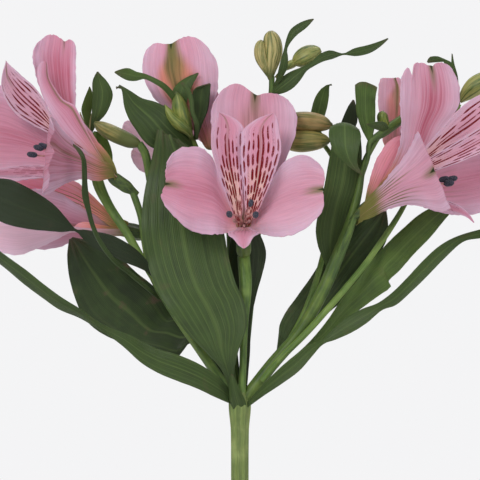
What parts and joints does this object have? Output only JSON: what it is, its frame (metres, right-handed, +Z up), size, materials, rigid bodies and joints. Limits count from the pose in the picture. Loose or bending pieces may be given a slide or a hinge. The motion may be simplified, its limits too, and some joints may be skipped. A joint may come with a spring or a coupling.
{
  "type": "potted peruvian lily",
  "caption": "Potted Peruvian lily: one upright stem with a whorl of leaves and an umbel of pink flecked lily blooms and buds, standing in soil in a plain round pot.",
  "frame": {"origin": "middle of the pot's flat underside, on the stem's axis", "axes": "+Z up along the stem, -Y the front that the middle bloom faces, +X to the right seen from the front"},
  "size_m": [0.2294, 0.122, 0.3739],
  "materials": {
    "pot": "plain unglazed terracotta, matt",
    "soil": "moist dark peat potting soil, crumbled",
    "stem": "smooth ribbed yellow green stem, soft sheen",
    "leaf": "dark green leaf with paler lengthwise veins, soft sheen",
    "petal": "pink petal with maroon flecks on a cream patch and green tips, velvety",
    "stamen": "slate blue matt anthers on pink filaments",
    "bud": "olive green bud with darker streaks",
    "bronze_bud": "bronze bud with olive streaks"
  },
  "bodies": {
    "root": {"pot": "pot", "soil": "soil", "stem_and_rays": "stem", "leaf_front_left": "leaf", "leaf_long_left": "leaf", "leaf_broad_left": "leaf", "leaf_twisted_left": "leaf", "leaf_curled_left": "leaf", "leaf_upper_left": "leaf", "leaf_folded_right": "leaf", "leaf_broad_right": "leaf", "leaf_lance_right": "leaf", "leaf_ribbon_right": "leaf", "leaf_behind_stalk": "leaf", "leaf_tip_right": "leaf", "leaf_dark_right": "leaf", "leaf_blunt_right": "leaf", "bract_at_whorl": "leaf", "leaf_upright_top": "leaf", "leaf_long_top": "leaf", "leaf_tall_left": "leaf", "leaf_short_left": "leaf", "leaf_hanging_left": "leaf", "leaf_spoon_left": "leaf", "leaf_point_left": "leaf", "leaf_fold_left": "leaf", "leaf_high_right": "leaf", "leaf_spike_right": "leaf", "bract_right": "leaf", "leaf_lower_1": "leaf", "leaf_lower_2": "leaf", "leaf_lower_3": "leaf", "bud_top": "bud", "bud_small_top": "bud", "bud_bronze": "bronze_bud", "bud_olive": "bud", "bud_diagonal": "bronze_bud", "bud_middle_left": "bud", "bud_pale_left": "bud", "bud_small_right": "bud", "bud_right_edge": "bud", "bloom_front": "petal", "stamens_front": "stamen", "bloom_left": "petal", "stamens_left": "stamen", "bloom_right": "petal", "stamens_right": "stamen", "bloom_low_left": "petal", "stamens_low_left": "stamen", "bloom_back_left": "petal", "stamens_back_left": "stamen", "bloom_hidden_left": "petal", "stamens_hidden_left": "stamen", "bloom_back_right": "petal", "stamens_back_right": "stamen"}
  },
  "joints": []
}
